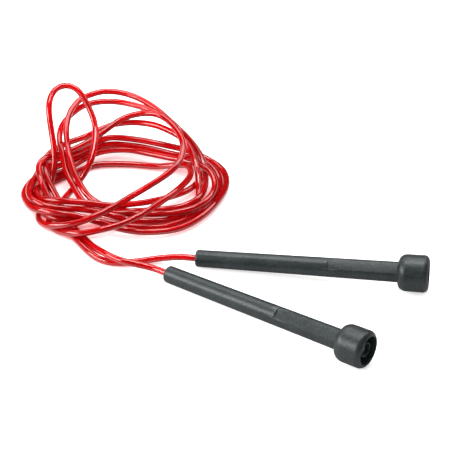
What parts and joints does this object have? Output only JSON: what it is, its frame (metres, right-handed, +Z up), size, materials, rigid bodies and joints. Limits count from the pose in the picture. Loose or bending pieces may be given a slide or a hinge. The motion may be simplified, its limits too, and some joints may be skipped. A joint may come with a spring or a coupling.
{
  "type": "jump rope",
  "caption": "Skipping rope lying in a loose coil, with a round flexible cord running through slim tapered handles that flare to an open bell.",
  "frame": {"origin": "on the floor, under the middle of the whole layout's bounding box", "axes": "+Z up from the floor; the handles point towards +X with their bells, and the coil lies towards +Y and -X; +Y points away from the usual viewing side"},
  "size_m": [0.3072, 0.3275, 0.0614],
  "materials": {
    "cord_pvc": "glossy, slightly translucent red PVC",
    "handle_plastic": "fine-grained dark grey moulded plastic",
    "washer_steel": "stamped washer",
    "stop_plastic": "dark grey moulded stop"
  },
  "bodies": {
    "cord": {"cord": "cord_pvc", "far_end_stop": "stop_plastic", "near_end_stop": "stop_plastic"},
    "far_washer": {"far_thrust_washer": "washer_steel"},
    "near_washer": {"near_thrust_washer": "washer_steel"},
    "far_handle": {"far_handle_shell": "handle_plastic"},
    "near_handle": {"near_handle_shell": "handle_plastic"}
  },
  "joints": [
    {"name": "far_spin", "type": "hinge", "parent": "cord", "child": "far_washer", "pos_m": [-0.01528, -0.03532, 0.0063], "axis": [0.9819, -0.1838, 0.0465], "continuous": true},
    {"name": "far_slide", "type": "slide", "parent": "far_washer", "child": "far_handle", "axis": [0.9819, -0.1838, 0.0465], "range_m": [-0.008, 0]},
    {"name": "near_spin", "type": "hinge", "parent": "cord", "child": "near_washer", "pos_m": [-0.03558, -0.05482, 0.0063], "axis": [0.8092, -0.5857, 0.0465], "continuous": true},
    {"name": "near_slide", "type": "slide", "parent": "near_washer", "child": "near_handle", "axis": [0.8092, -0.5857, 0.0465], "range_m": [-0.008, 0]}
  ]
}
